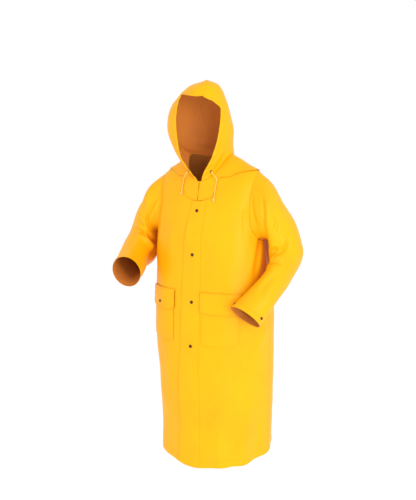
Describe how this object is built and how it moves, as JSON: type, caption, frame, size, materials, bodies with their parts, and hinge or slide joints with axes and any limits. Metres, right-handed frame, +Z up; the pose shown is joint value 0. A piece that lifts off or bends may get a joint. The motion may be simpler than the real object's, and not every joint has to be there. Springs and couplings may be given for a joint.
{
  "type": "hooded raincoat",
  "caption": "Long hooded raincoat of coated cloth, filled out as worn with no wearer, with snap front, cape edge, set-in sleeves and flap pockets.",
  "frame": {"origin": "the middle of the neck, level with the shoulders, where the coat is held up", "axes": "+Z up along the coat, the front faces -Y, the wearer's left is +X"},
  "size_m": [0.7661, 0.4722, 1.5124],
  "materials": {
    "coated_cloth": "yellow PVC coating on both faces of polyester cloth, smooth with a soft satin shine",
    "snap_metal": "dark brown enamelled press snaps and eyelets",
    "drawcord": "yellow braided cord"
  },
  "bodies": {
    "root": {"front_left": "coated_cloth", "front_right": "coated_cloth", "back": "coated_cloth", "sleeve_left": "coated_cloth", "sleeve_right": "coated_cloth", "hood_left": "coated_cloth", "hood_right": "coated_cloth", "cape": "coated_cloth", "front_fly": "coated_cloth", "pocket_left": "coated_cloth", "pocket_right": "coated_cloth", "flap_left": "coated_cloth", "flap_right": "coated_cloth", "front_snap_1": "snap_metal", "front_snap_2": "snap_metal", "front_snap_3": "snap_metal", "front_snap_4": "snap_metal", "flap_snap_right": "snap_metal", "cuff_snap_left_outer": "snap_metal", "cuff_snap_left_inner": "snap_metal", "cuff_snap_right": "snap_metal", "eyelet_left": "snap_metal", "eyelet_right": "snap_metal", "drawcord_left": "drawcord", "drawcord_right": "drawcord"}
  },
  "joints": []
}
